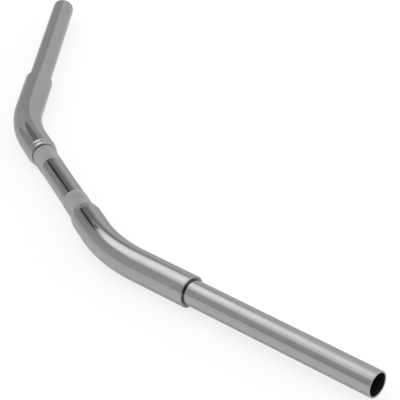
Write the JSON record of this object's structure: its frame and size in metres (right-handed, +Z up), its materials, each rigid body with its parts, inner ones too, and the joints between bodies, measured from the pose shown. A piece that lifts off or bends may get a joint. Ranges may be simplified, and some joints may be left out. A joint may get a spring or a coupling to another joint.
{
  "type": "motorcycle drag handlebar",
  "caption": "Chromed drag handlebar: an open-ended steel tube swept back at each side, with a knurled clamp section and thick sleeves over its bends.",
  "frame": {"origin": "on the tube's axis, midway between the two knurled bands", "axes": "+X across the bar's width, +Y forward with the grips swept back to -Y, +Z up"},
  "size_m": [0.8552, 0.1657, 0.0318],
  "materials": {
    "tube_chrome": "polished chrome plate, with two matte knurled bands in the clamp section",
    "sleeve_chrome": "polished chrome plate"
  },
  "bodies": {
    "root": {"bar_tube": "tube_chrome", "left_sleeve": "sleeve_chrome", "right_sleeve": "sleeve_chrome"}
  },
  "joints": []
}
